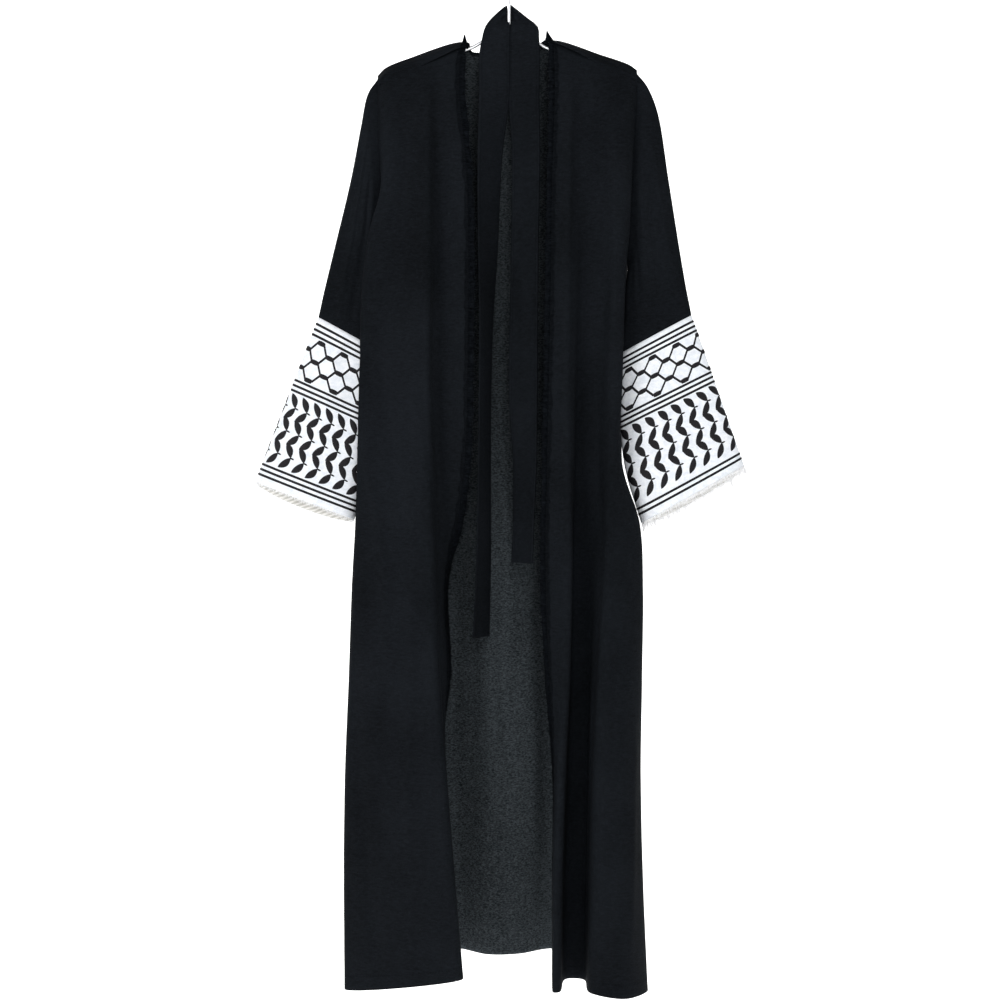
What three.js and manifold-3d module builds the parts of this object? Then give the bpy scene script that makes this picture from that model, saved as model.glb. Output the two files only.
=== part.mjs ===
// An open-front abaya with a loose belt, hanging on a bent-rod hanger.
// Millimetres, +Z up, the front faces -Y. The origin is the seat of the hook.
// "left" is -X and "right" is +X, as seen by someone who faces the garment.
import * as THREE from "three";
import { mergeVertices } from "three/addons/utils/BufferGeometryUtils.js";
import Module from "manifold-3d";

// ---- driving dimensions ----
const CLOTH = 1.6; // thickness of the crepe
const CUFF_CLOTH = 2; // thickness of the embroidered cuff
const BELT_CLOTH = 2; // the belt is sewn double
const FRINGE_GAP = 0.6; // room between a fringe's backing and the cloth's edge
const ROW_STEPS = 2; // rows of faces between two levels of a panel
const SHARED_SPANS = 4; // spans of a front that give way to its trim
const TRIM_ROOT = 5; // width of the strip that the trim's locks grow from
const TRIM_WIDTH = 12; // strip and locks together
const TRIM_LOCKS = 62; // locks on each front edge
const NECK_TRIM_ROOT = 2.5;
const NECK_TRIM_WIDTH = 5;
const NECK_LOCKS = 10;
const CUFF_FRINGE_ROOT = 4;
const LEFT_CUFF_FRINGE_WIDTH = 9; // worn shorter than the right one
const RIGHT_CUFF_FRINGE_WIDTH = 15;
const CUFF_LOCKS = 30; // locks round each cuff
const ROD_RADIUS = 2.5; // the hanger's rod
const ROD_SIDES = 8;
const HOOK_RADIUS = 17; // middle of the rod round the hook
const HANGER_CENTRE_Z = -100;

const INK_BLACK = 0x15181c;
const SOFT_BLACK = 0x0d0f12;
const CUFF_WHITE = 0xe8e8ea;
const STEEL = 0xc9ccd0;

// ---- the panels' shapes ----
// A panel is a net of levels, from its top edge to its hem. A level gives the same
// columns, each as [x, y] at the level's height, or as [x, y, z] at one of its own.
const level = (height, ...columns) =>
  columns.map(([x, y, z = height]) => new THREE.Vector3(x, y, z));

// columns: side seam, side fold, plane, ridge, valley, inner plane, front edge
const LEFT_FRONT = [
  level(0, [-196, -7.5, -177.4], [-184, -10.5, -171.5], [-158, -12.4, -160.2], [-122, -12.6, -146.6],
    [-106, -12, -139.6], [-84, -11.4, -129], [-62, -10, -116.4]),
  level(-190, [-196.2, -7], [-185, -17], [-156, -21], [-121, -26], [-106, -20], [-84, -22], [-62, -22]),
  level(-260, [-194.6, -7.5], [-184, -22], [-154, -25], [-120, -34], [-106, -22], [-80, -27], [-55, -27]),
  level(-330, [-191.6, -7.5], [-189, -27], [-155, -30], [-120, -40], [-106, -24], [-77, -30], [-50, -30]),
  level(-400, [-189.5, -7], [-208, -29], [-160, -36], [-120, -45], [-106, -25], [-76, -32], [-48, -32]),
  level(-480, [-183, -4], [-217, -30], [-163, -40], [-120, -48], [-106, -26], [-76, -33], [-48, -34]),
  level(-600, [-174, -1], [-220, -31], [-165, -44], [-120, -51], [-106, -27], [-76, -34], [-49, -35]),
  level(-720, [-186, -1], [-225, -31], [-166, -46], [-118, -53], [-104, -28], [-77, -33], [-52, -33]),
  level(-820, [-208, -1], [-228, -28], [-168, -48], [-115, -55], [-102, -30], [-82, -24], [-63, -20]),
  level(-920, [-226, -1], [-233, -24], [-170, -49], [-112, -56], [-101, -31], [-95, -14], [-87, -2]),
  level(-1060, [-232.5, -1], [-237.5, -24], [-170, -50], [-106, -57], [-98, -32], [-93, -12], [-85, 5]),
  level(-1200, [-238, -1], [-243, -24], [-169, -51], [-95, -58], [-92, -34], [-98, -12], [-110, 4]),
  level(-1350, [-240, -1], [-245, -24], [-167, -52], [-83, -58], [-81, -34], [-91, -12], [-108, 2]),
  level(0, [-239, -1, -1520], [-244, -24, -1522], [-164, -52, -1512], [-70, -57, -1498],
    [-70, -34, -1498], [-85, -12, -1500], [-106, 1, -1502]),
];
const LEFT_FRONT_STEPS = [2, 3, 2, 2, 2, 2];

// columns: side seam, side fold, plane, crest, outer hollow, inner hollow, the ridge's
// two sides, front edge
const RIGHT_FRONT = [
  level(0, [191, -7.5, -171], [180, -10.5, -163.6], [165, -12, -157], [150, -12.4, -150.6],
    [128, -12.4, -142.4], [104, -11.9, -133.8], [91, -11.6, -127.8], [80, -11.2, -123], [56, -9.9, -110.8]),
  level(-190, [190.3, -7], [181, -17], [170, -21], [155, -24], [131, -19], [106, -19],
    [92, -25], [83, -25.5], [56, -22]),
  level(-260, [187, -7.5], [181, -21], [170, -27], [156, -30], [132, -21], [105, -21],
    [91, -31], [83, -32], [54, -27]),
  level(-330, [183.6, -7.5], [180, -23], [170, -31], [156, -35], [132, -22], [105, -22],
    [91, -36], [83, -37], [52, -30]),
  level(-400, [180.3, -7], [177, -24], [168, -35], [156, -38], [132, -23], [105, -23],
    [91, -40], [83, -41], [51, -32]),
  level(-480, [168, -4], [173, -25], [166, -37], [154, -41], [131, -23], [104, -23],
    [91, -42], [83, -43.5], [50, -33]),
  level(-600, [158, -1], [169, -27], [163, -40], [152, -44], [130, -23], [102, -22],
    [91, -45], [83, -47], [48, -34]),
  level(-740, [157, -1], [168, -28], [161, -43], [149, -48], [127, -20], [100, -17],
    [91, -47], [83, -49], [45, -34]),
  level(-830, [187, -1], [194, -27], [165, -47], [145, -51], [124, -16], [99, -12],
    [91, -47], [83, -49], [43, -33]),
  level(-920, [191, -1], [199, -26], [168, -51], [140, -54], [121, -11], [97, -7],
    [91, -47], [83, -49], [43, -32]),
  level(-1060, [191, -1], [197.5, -27], [167, -56], [133, -56], [118, -6], [95, -2],
    [88, -47], [80, -49.5], [50, -27]),
  level(-1200, [189, -1], [195.5, -28], [165, -61], [128, -57], [116, -1], [91, 2],
    [81, -48], [72.5, -50.5], [63, -16]),
  level(-1350, [192, -1], [198.5, -29], [166, -66], [124, -57], [114, 2], [88, 4],
    [76, -49], [67, -51.5], [64, -15]),
  level(0, [200, -1, -1522], [205.5, -30, -1522], [168, -70, -1522], [119, -58, -1517],
    [111, 3, -1515], [86, 5, -1515], [74, -50, -1518], [65, -52.5, -1518], [65, -14, -1516]),
];
const RIGHT_FRONT_STEPS = [2, 2, 2, 2, 2, 2, 2, 2];

// columns: left armhole and side seam, left fold, left plane, left neck point, left neck,
// middle, right neck, right neck point, right plane, right fold, right side seam.
// The first three levels go over the shoulders, from the forward seam to the back.
const BACK = [
  level(0, [-196.6, -9.5, -175], [-184, -11, -169], [-150, -12.4, -155.4], [-66, -10, -115.8],
    [-56, 10, -112], [-4, 18, -130], [44, 12, -113], [60, -10, -109.4],
    [140, -12.4, -145], [180, -11, -162], [191.6, -9.5, -169]),
  level(0, [-197, 0, -159], [-186, 0, -147.5], [-150, 0, -132.5], [-67, 0, -108.5],
    [-57, 12, -118], [-4, 19, -136], [45, 13, -119], [61, 0, -106],
    [140, 0, -128], [181, 0, -142.5], [192, 0, -150.5]),
  level(0, [-196.6, 8, -174], [-184, 10, -163], [-150, 11, -148], [-68, 11, -125],
    [-58, 14, -128], [-4, 21, -146], [46, 15, -129], [62, 11, -123],
    [140, 11, -144], [180, 10, -157.5], [191.4, 8, -168]),
  level(-220, [-195.5, 7.5], [-186, 20], [-150, 28], [-98, 27], [-62, 31], [-14, 28], [30, 30],
    [70, 33], [140, 29], [183, 20], [188.9, 7.5]),
  level(-330, [-193.1, 7.5], [-192, 24], [-150, 37], [-104, 33], [-68, 39], [-20, 33], [22, 36],
    [66, 41], [138, 38], [184, 24], [183.6, 7.5]),
  level(-450, [-189, 4], [-212, 28], [-155, 45], [-110, 38], [-72, 47], [-24, 37], [18, 41],
    [64, 49], [136, 44], [180, 28], [172, 5]),
  level(-600, [-174, 1], [-216, 31], [-160, 51], [-114, 42], [-74, 54], [-26, 41], [15, 45],
    [63, 56], [134, 49], [174, 30], [158, 1]),
  level(-740, [-189, 1], [-220, 32], [-164, 56], [-117, 46], [-76, 60], [-28, 44], [14, 48],
    [63, 62], [136, 53], [171, 31], [157, 1]),
  level(-830, [-210, 1], [-223, 31], [-167, 58], [-119, 48], [-77, 64], [-29, 45], [13, 50],
    [64, 66], [140, 55], [192, 30], [187, 1]),
  level(-920, [-226, 1], [-229, 30], [-170, 61], [-121, 50], [-78, 68], [-30, 47], [13, 51],
    [64, 70], [144, 57], [197, 29], [191, 1]),
  level(-1100, [-233.5, 1], [-235.5, 30], [-174, 65], [-124, 53], [-79, 75], [-30, 49], [13, 54],
    [65, 76], [147, 60], [196, 29], [190, 1]),
  level(-1300, [-239, 1], [-241, 31], [-176, 69], [-127, 56], [-80, 81], [-31, 52], [13, 56],
    [66, 82], [149, 63], [196, 30], [191, 1]),
  level(-1492, [-239, 1], [-243, 31], [-178, 72], [-129, 60], [-81, 88], [-31, 55], [13, 58],
    [67, 88], [152, 66], [202.5, 30], [200, 1]),
];
const BACK_STEPS = [2, 2, 2, 3, 3, 2, 3, 3, 2, 2];

// ---- the sleeves and cuffs ----
// A ring of a sleeve runs from the overarm fold (x, z) to the underarm fold (x, z).
// depth is half its thickness along Y; back_drop is how much lower its rear wall hangs.
const ring = (overX, overZ, underX, underZ, depth, backDrop = 0) => ({
  over: new THREE.Vector3(overX, 0, overZ),
  under: new THREE.Vector3(underX, 0, underZ),
  depth,
  backDrop,
});
const LEFT_SLEEVE = [
  ring(-197.6, -161, -191, -446, 6.5),
  ring(-212, -188, -193, -462, 12),
  ring(-222, -236, -194, -482, 14),
  ring(-237, -314, -192, -512, 15),
  ring(-262, -420, -188, -548, 14),
  ring(-286, -521, -183, -578, 13),
];
const LEFT_CUFF = [
  ring(-286.3, -522, -183.2, -579, 13),
  ring(-310, -584, -191, -640, 15),
  ring(-346, -677, -208, -735, 20),
  ring(-381, -766, -231, -824, 25, 14),
];
const RIGHT_SLEEVE = [
  ring(192.6, -153, 179, -440, 6.5),
  ring(210, -179, 181, -458, 12),
  ring(224, -216, 179.5, -474, 14),
  ring(240, -314, 176.5, -510, 15),
  ring(257, -420, 173, -545, 14),
  ring(273.7, -518, 169.5, -574, 13),
];
const RIGHT_CUFF = [
  ring(274, -519, 169.7, -575, 13),
  ring(294, -576, 166, -640, 15),
  ring(324, -662, 172, -738, 20),
  ring(352, -743, 198, -829, 24, 12),
];
const RING_POINTS = 18; // points round a sleeve
const CUFF_POINTS = 20;

// ---- the belt ----
// columns: x, y, z, turn and stand in degrees, width. It goes up, round the stem and
// down. stand is 0 where its width lies across, and -90 behind the stem, where it
// stands up.
const BELT = [
  [-41, -12, -1000, 58, 0, 45], [-39, -13, -950, 61, 0, 45], [-37, -13, -880, 63, 0, 45],
  [-36, -13, -785, 66, 0, 45], [-35, -13, -650, 68, 0, 45], [-33, -13, -520, 64, 0, 45],
  [-31, -12, -430, 52, 0, 45], [-28, -10, -280, 36, 0, 45], [-23, -8, -190, 16, 0, 45],
  [-22.8, -5.5, -130, 6, 0, 44], [-20.6, -5.2, -104, 2, 0, 40], [-18.5, -5.2, -89, 0, -8, 35],
  [-15, -2, -79, 0, -28, 26], [-6, 3.2, -68, 0, -74, 25], [0, 3.4, -63, 0, -90, 26],
  [6, 3.2, -68, 0, -106, 25], [15.2, -2.2, -78, 0, -150, 26], [22.6, -5.4, -89, 0, -174, 42],
  [23.2, -5.2, -104, 0, -180, 44], [23.6, -5.5, -128, 4, -180, 45], [23.4, -8, -190, 12, -180, 45],
  [25, -9, -273, 22, -180, 45], [23, -10, -430, 26, -180, 45], [21, -11, -640, 20, -180, 45],
  [23, -11, -745, 40, -180, 45], [21, -11, -830, 47, -180, 45], [19, -11, -889, 46, -180, 45],
];
const BELT_ROW_STEPS = 2;

// ---- the hanger ----
// columns: distance from the middle, height. Both arms use it.
const ARM = [
  [0, HANGER_CENTRE_Z], [30, -103.7], [60, -118.2], [110, -130.6], [150, -141], [172, -150.6],
];
const ARM_STEPS = 7;
const HOOK_END_ANGLE = -0.35; // where the hook's tip stops, in radians below the horizontal
const HOOK_POINTS = 14;

// ---- surfaces ----
// Points between the levels and columns of a net, as rows of points on smooth curves.
function smoothRows(net, rowSteps, columnSteps) {
  const columnCurves = net[0].map((_, column) =>
    new THREE.CatmullRomCurve3(net.map((points) => points[column]), false, "centripetal"));
  const rowCount = (net.length - 1) * rowSteps;
  const rows = [];
  for (let row = 0; row <= rowCount; row += 1) {
    const controls = columnCurves.map((curve) => curve.getPoint(row / rowCount));
    rows.push(smoothRow(controls, columnSteps));
  }
  return rows;
}

function smoothRow(controls, columnSteps) {
  const curve = new THREE.CatmullRomCurve3(controls, false, "centripetal");
  const spans = controls.length - 1;
  const points = [];
  for (let span = 0; span < spans; span += 1) {
    for (let step = 0; step < columnSteps[span]; step += 1) {
      points.push(curve.getPoint((span + step / columnSteps[span]) / spans));
    }
  }
  points.push(curve.getPoint(1));
  return points;
}

// The unit direction square to a grid of points at one of them.
function gridNormal(rows, row, column, around) {
  const columns = rows[0].length;
  const wrap = (index) => (index + columns) % columns;
  const before = around ? wrap(column - 1) : Math.max(column - 1, 0);
  const after = around ? wrap(column + 1) : Math.min(column + 1, columns - 1);
  const across = rows[row][after].clone().sub(rows[row][before]);
  const above = rows[Math.max(row - 1, 0)][column];
  const below = rows[Math.min(row + 1, rows.length - 1)][column];
  return across.cross(below.clone().sub(above)).normalize();
}

// A closed wall on a grid of outer points. inward is +1 or -1, the side of the
// grid's normal that the cloth's thickness goes to.
function wall(rows, thickness, { inward = 1, around = false } = {}) {
  const rowCount = rows.length;
  const columnCount = rows[0].length;
  const inner = rows.map((points, row) => points.map((point, column) => {
    const offset = gridNormal(rows, row, column, around).multiplyScalar(inward * thickness);
    return point.clone().add(offset);
  }));
  const positions = [...rows.flat(), ...inner.flat()].flatMap((point) => point.toArray());
  const total = rowCount * columnCount;
  const indices = [];
  const face = (a, b, c, d) => {
    if (inward > 0) indices.push(a, c, b, a, d, c);
    else indices.push(a, b, c, a, c, d);
  };
  const at = (row, column) => row * columnCount + (column % columnCount);
  const lastColumn = around ? columnCount : columnCount - 1;
  for (let row = 0; row < rowCount - 1; row += 1) {
    for (let column = 0; column < lastColumn; column += 1) {
      const corners = [at(row, column), at(row, column + 1), at(row + 1, column + 1), at(row + 1, column)];
      const [a, b, c, d] = corners;
      face(a, b, c, d);
      face(total + a, total + d, total + c, total + b);
    }
  }
  for (let column = 0; column < lastColumn; column += 1) {
    const [top, next] = [at(0, column), at(0, column + 1)];
    face(total + top, total + next, next, top);
    const [low, lowNext] = [at(rowCount - 1, column), at(rowCount - 1, column + 1)];
    face(low, lowNext, total + lowNext, total + low);
  }
  if (!around) {
    for (let row = 0; row < rowCount - 1; row += 1) {
      const [left, leftBelow] = [at(row, 0), at(row + 1, 0)];
      face(left, leftBelow, total + leftBelow, total + left);
      const [right, rightBelow] = [at(row, columnCount - 1), at(row + 1, columnCount - 1)];
      face(right, total + right, total + rightBelow, rightBelow);
    }
  }
  const geometry = new THREE.BufferGeometry();
  geometry.setAttribute("position", new THREE.Float32BufferAttribute(positions, 3));
  geometry.setIndex(indices);
  return geometry;
}

// Draws the end of each row in by a distance, along the row. The columns of its last
// few spans share the loss.
function shortenRows(rows, distance) {
  return rows.map((points) => {
    const first = points.length - 1 - SHARED_SPANS;
    const tail = points.slice(first);
    const reached = [0];
    for (let index = 1; index < tail.length; index += 1) {
      reached.push(reached[index - 1] + tail[index].distanceTo(tail[index - 1]));
    }
    const share = 1 - distance / reached[SHARED_SPANS];
    const drawnIn = tail.map((_, index) => {
      const target = reached[index] * share;
      const span = Math.max(1, reached.findIndex((length) => length >= target));
      const within = (target - reached[span - 1]) / (reached[span] - reached[span - 1]);
      return tail[span - 1].clone().lerp(tail[span], within);
    });
    return [...points.slice(0, first), ...drawnIn];
  });
}

// A strip with a straight root and a zigzag outer edge, one point of it for each lock.
// roots are points along the cloth's edge and ways the directions the locks point to.
function lockStrip(roots, ways, { locks, root, width, thickness, inward, around = false }) {
  const rootCurve = new THREE.CatmullRomCurve3(roots, around, "centripetal");
  const wayCurve = new THREE.CatmullRomCurve3(ways, around, "centripetal");
  const stations = around ? locks * 2 : locks * 2 + 1;
  const rows = [];
  for (let station = 0; station < stations; station += 1) {
    const share = station / (locks * 2);
    const point = rootCurve.getPoint(share);
    const way = wayCurve.getPoint(share).normalize();
    const reach = station % 2 === 0 ? root : width;
    rows.push([point.clone().addScaledVector(way, FRINGE_GAP), point.clone().addScaledVector(way, reach)]);
  }
  if (!around) return wall(rows, thickness, { inward });
  const turned = [rows.map((pair) => pair[0]), rows.map((pair) => pair[1])];
  return wall(turned, thickness, { inward, around });
}

// ---- pieces ----
const group = new THREE.Group();
const cloth = (color, roughness = 0.92) =>
  new THREE.MeshStandardMaterial({ color, roughness, metalness: 0, side: THREE.DoubleSide });
const materials = {
  crepe: cloth(INK_BLACK),
  trim: cloth(SOFT_BLACK, 1),
  cuff: cloth(CUFF_WHITE, 0.85),
  hanger: new THREE.MeshStandardMaterial({ color: STEEL, roughness: 0.35, metalness: 0.9 }),
};

function addPiece(name, geometry, material) {
  const mesh = new THREE.Mesh(geometry, material);
  mesh.name = name;
  group.add(mesh);
}

function addFront(side, net, steps, inward) {
  const drawn = smoothRows(net, ROW_STEPS, steps);
  const panel = shortenRows(drawn, TRIM_WIDTH);
  addPiece(`front_${side}`, wall(panel, CLOTH, { inward }), materials.crepe);
  const last = drawn[0].length - 1;
  const roots = panel.map((points) => points[last]);
  const ways = panel.map((points) => points[last].clone().sub(points[last - 1]).normalize());
  const shape = { locks: TRIM_LOCKS, root: TRIM_ROOT, width: TRIM_WIDTH, thickness: CLOTH, inward: -inward };
  addPiece(`edge_fringe_${side}`, lockStrip(roots, ways, shape), materials.trim);
}

function addBack() {
  const rows = smoothRows(BACK, ROW_STEPS, BACK_STEPS);
  addPiece("back_panel", wall(rows, CLOTH, { inward: -1 }), materials.crepe);
  const neckStart = BACK_STEPS.slice(0, 4).reduce((sum, steps) => sum + steps, 0);
  const neckEnd = BACK_STEPS.slice(0, 6).reduce((sum, steps) => sum + steps, 0);
  const roots = rows[0].slice(neckStart, neckEnd + 1);
  const ways = roots.map(() => new THREE.Vector3(0, 0.15, 1).normalize());
  const shape = {
    locks: NECK_LOCKS, root: NECK_TRIM_ROOT, width: NECK_TRIM_WIDTH, thickness: CLOTH, inward: 1,
  };
  addPiece("neck_fringe", lockStrip(roots, ways, shape), materials.trim);
}

// One ring's points, over the front wall and back along the rear one.
function ringPoints({ over, under, depth, backDrop }, count) {
  const down = new THREE.Vector3(under.z - over.z, 0, over.x - under.x).normalize();
  if (down.z > 0) down.negate();
  const points = [];
  for (let index = 0; index < count; index += 1) {
    const angle = (index / count) * Math.PI * 2;
    const across = (1 - Math.cos(angle)) / 2;
    const bulge = Math.sin(angle);
    const point = over.clone().lerp(under, across);
    point.y = -depth * Math.sign(bulge) * Math.abs(bulge) ** 0.8;
    point.addScaledVector(down, (backDrop * Math.max(-bulge, 0)));
    points.push(point);
  }
  return points;
}

function addSleeve(name, rings, count, rowSteps, thickness, inward, material) {
  const net = rings.map((shape) => ringPoints(shape, count));
  const columns = net[0].map((_, column) =>
    new THREE.CatmullRomCurve3(net.map((points) => points[column]), false, "centripetal"));
  const rowCount = (rings.length - 1) * rowSteps;
  const rows = [];
  for (let row = 0; row <= rowCount; row += 1) {
    rows.push(columns.map((curve) => curve.getPoint(row / rowCount)));
  }
  addPiece(name, wall(rows, thickness, { inward, around: true }), material);
  return rows;
}

function addSleeveAndCuff(side, sleeveRings, cuffRings, fringeWidth, inward) {
  addSleeve(`sleeve_${side}`, sleeveRings, RING_POINTS, 2, CLOTH, inward, materials.crepe);
  const rows = addSleeve(`cuff_${side}`, cuffRings, CUFF_POINTS, 3, CUFF_CLOTH, inward, materials.cuff);
  const last = rows.length - 1;
  const ways = rows[last].map((point, column) => point.clone().sub(rows[last - 1][column]).normalize());
  const shape = {
    locks: CUFF_LOCKS, root: CUFF_FRINGE_ROOT, width: fringeWidth, thickness: CLOTH, inward, around: true,
  };
  addPiece(`cuff_fringe_${side}`, lockStrip(rows[last], ways, shape), materials.cuff);
}

function addBelt() {
  const net = BELT.map(([x, y, z, turn, stand, width]) => {
    const [turned, stood] = [THREE.MathUtils.degToRad(turn), THREE.MathUtils.degToRad(stand)];
    const flat = Math.cos(turned);
    const across = new THREE.Vector3(flat * Math.cos(stood), Math.sin(turned), flat * Math.sin(stood));
    const middle = new THREE.Vector3(x, y, z);
    return [-1, -0.33, 0.33, 1].map((side) => middle.clone().addScaledVector(across, side * width / 2));
  });
  const rows = smoothRows(net, BELT_ROW_STEPS, [1, 1, 1]);
  addPiece("belt", wall(rows, BELT_CLOTH, { inward: -1 }), materials.crepe);
}

async function addHanger() {
  const wasm = await Module();
  wasm.setup();
  const section = new THREE.Shape();
  for (let index = 0; index < ROD_SIDES; index += 1) {
    const angle = (index / ROD_SIDES) * Math.PI * 2;
    const [u, v] = [Math.cos(angle) * ROD_RADIUS, Math.sin(angle) * ROD_RADIUS];
    if (index === 0) section.moveTo(u, v);
    else section.lineTo(u, v);
  }
  section.closePath();
  const rod = (points, steps) => {
    const extrudePath = new THREE.CatmullRomCurve3(points, false, "centripetal");
    return solid(wasm, new THREE.ExtrudeGeometry(section, { steps, bevelEnabled: false, extrudePath }));
  };
  const half = ARM.slice(1).map(([x, z]) => new THREE.Vector3(x, 0, z));
  const other = half.map(({ x, z }) => new THREE.Vector3(-x, 0, z)).reverse();
  const middle = new THREE.Vector3(0, 0, HANGER_CENTRE_Z);
  const arms = rod([...other, middle, ...half], ARM_STEPS * 4);
  const hookCentre = ROD_RADIUS - HOOK_RADIUS;
  const stemTop = hookCentre - HOOK_RADIUS;
  const hook = [];
  for (let index = 0; index <= HOOK_POINTS; index += 1) {
    const angle = -Math.PI / 2 + (index / HOOK_POINTS) * (Math.PI * 1.5 - HOOK_END_ANGLE);
    hook.push(new THREE.Vector3(Math.cos(angle) * HOOK_RADIUS, 0, hookCentre + Math.sin(angle) * HOOK_RADIUS));
  }
  const stem = rod([new THREE.Vector3(0, 0, HANGER_CENTRE_Z), new THREE.Vector3(0, 0, stemTop + ROD_RADIUS)], 1);
  const whole = arms.add(stem).add(rod(hook, HOOK_POINTS * 2));
  addPiece("hanger", geometryOf(whole), materials.hanger);
}

function solid(wasm, geometry) {
  geometry.deleteAttribute("normal");
  geometry.deleteAttribute("uv");
  const merged = mergeVertices(geometry, 1e-4);
  const vertProperties = new Float32Array(merged.attributes.position.array);
  const triVerts = new Uint32Array(merged.index.array);
  return new wasm.Manifold(new wasm.Mesh({ numProp: 3, vertProperties, triVerts }));
}

function geometryOf(manifold) {
  const { vertProperties, triVerts } = manifold.getMesh();
  const geometry = new THREE.BufferGeometry();
  geometry.setAttribute("position", new THREE.Float32BufferAttribute(vertProperties, 3));
  geometry.setIndex(Array.from(triVerts));
  return geometry;
}

addBack();
addFront("left", LEFT_FRONT, LEFT_FRONT_STEPS, -1);
addFront("right", RIGHT_FRONT, RIGHT_FRONT_STEPS, 1);
addSleeveAndCuff("left", LEFT_SLEEVE, LEFT_CUFF, LEFT_CUFF_FRINGE_WIDTH, 1);
addSleeveAndCuff("right", RIGHT_SLEEVE, RIGHT_CUFF, RIGHT_CUFF_FRINGE_WIDTH, -1);
addBelt();
await addHanger();

export default group;
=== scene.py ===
"""The looks of an open-front abaya that hangs on a rod hanger, in metres, +Z up, front -Y.

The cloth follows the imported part: the nets below repeat the levels of part.mjs in
millimetres, and each piece is a thin shell on its own solid's form, with finer folds.
"""
import math
from types import SimpleNamespace

import bpy
import numpy as np
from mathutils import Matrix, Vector

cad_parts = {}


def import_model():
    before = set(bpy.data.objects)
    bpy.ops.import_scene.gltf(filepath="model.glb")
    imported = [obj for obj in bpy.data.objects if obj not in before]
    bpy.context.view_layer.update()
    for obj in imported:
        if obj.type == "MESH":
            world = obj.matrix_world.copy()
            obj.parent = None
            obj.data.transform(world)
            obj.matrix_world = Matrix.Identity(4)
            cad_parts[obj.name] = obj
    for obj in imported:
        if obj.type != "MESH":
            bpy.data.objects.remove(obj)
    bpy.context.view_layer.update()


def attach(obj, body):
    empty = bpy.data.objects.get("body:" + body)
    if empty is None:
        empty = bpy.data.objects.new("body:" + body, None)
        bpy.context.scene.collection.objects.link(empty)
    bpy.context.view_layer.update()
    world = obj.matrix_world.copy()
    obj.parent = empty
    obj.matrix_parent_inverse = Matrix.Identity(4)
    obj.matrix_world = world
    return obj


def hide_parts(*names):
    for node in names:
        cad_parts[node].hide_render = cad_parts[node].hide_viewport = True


MM = 0.001

# ---- the cloth's forms, in millimetres ----


def panel_net(*levels):
    """A panel's net. Each level is a height and its columns: [x, y], or [x, y, z] for a column
    with a height of its own."""
    return [[[x, y, *(own or [height])] for x, y, *own in columns] for height, *columns in levels]


# columns: side seam, side fold, plane, ridge, valley, inner plane, front edge
LEFT_FRONT = panel_net(
    (0, [-196, -7.5, -177.4], [-184, -10.5, -171.5], [-158, -12.4, -160.2], [-122, -12.6, -146.6],
     [-106, -12, -139.6], [-84, -11.4, -129], [-62, -10, -116.4]),
    (-190, [-196.2, -7], [-185, -17], [-156, -21], [-121, -26], [-106, -20], [-84, -22],
     [-62, -22]),
    (-260, [-194.6, -7.5], [-184, -22], [-154, -25], [-120, -34], [-106, -22], [-80, -27],
     [-55, -27]),
    (-330, [-191.6, -7.5], [-189, -27], [-155, -30], [-120, -40], [-106, -24], [-77, -30],
     [-50, -30]),
    (-400, [-189.5, -7], [-208, -29], [-160, -36], [-120, -45], [-106, -25], [-76, -32],
     [-48, -32]),
    (-480, [-183, -4], [-217, -30], [-163, -40], [-120, -48], [-106, -26], [-76, -33], [-48, -34]),
    (-600, [-174, -1], [-220, -31], [-165, -44], [-120, -51], [-106, -27], [-76, -34], [-49, -35]),
    (-720, [-186, -1], [-225, -31], [-166, -46], [-118, -53], [-104, -28], [-77, -33], [-52, -33]),
    (-820, [-208, -1], [-228, -28], [-168, -48], [-115, -55], [-102, -30], [-82, -24], [-63, -20]),
    (-920, [-226, -1], [-233, -24], [-170, -49], [-112, -56], [-101, -31], [-95, -14], [-87, -2]),
    (-1060, [-232.5, -1], [-237.5, -24], [-170, -50], [-106, -57], [-98, -32], [-93, -12],
     [-85, 5]),
    (-1200, [-238, -1], [-243, -24], [-169, -51], [-95, -58], [-92, -34], [-98, -12], [-110, 4]),
    (-1350, [-240, -1], [-245, -24], [-167, -52], [-83, -58], [-81, -34], [-91, -12], [-108, 2]),
    (0, [-239, -1, -1520], [-244, -24, -1522], [-164, -52, -1512], [-70, -57, -1498],
     [-70, -34, -1498], [-85, -12, -1500], [-106, 1, -1502]),
)
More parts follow.
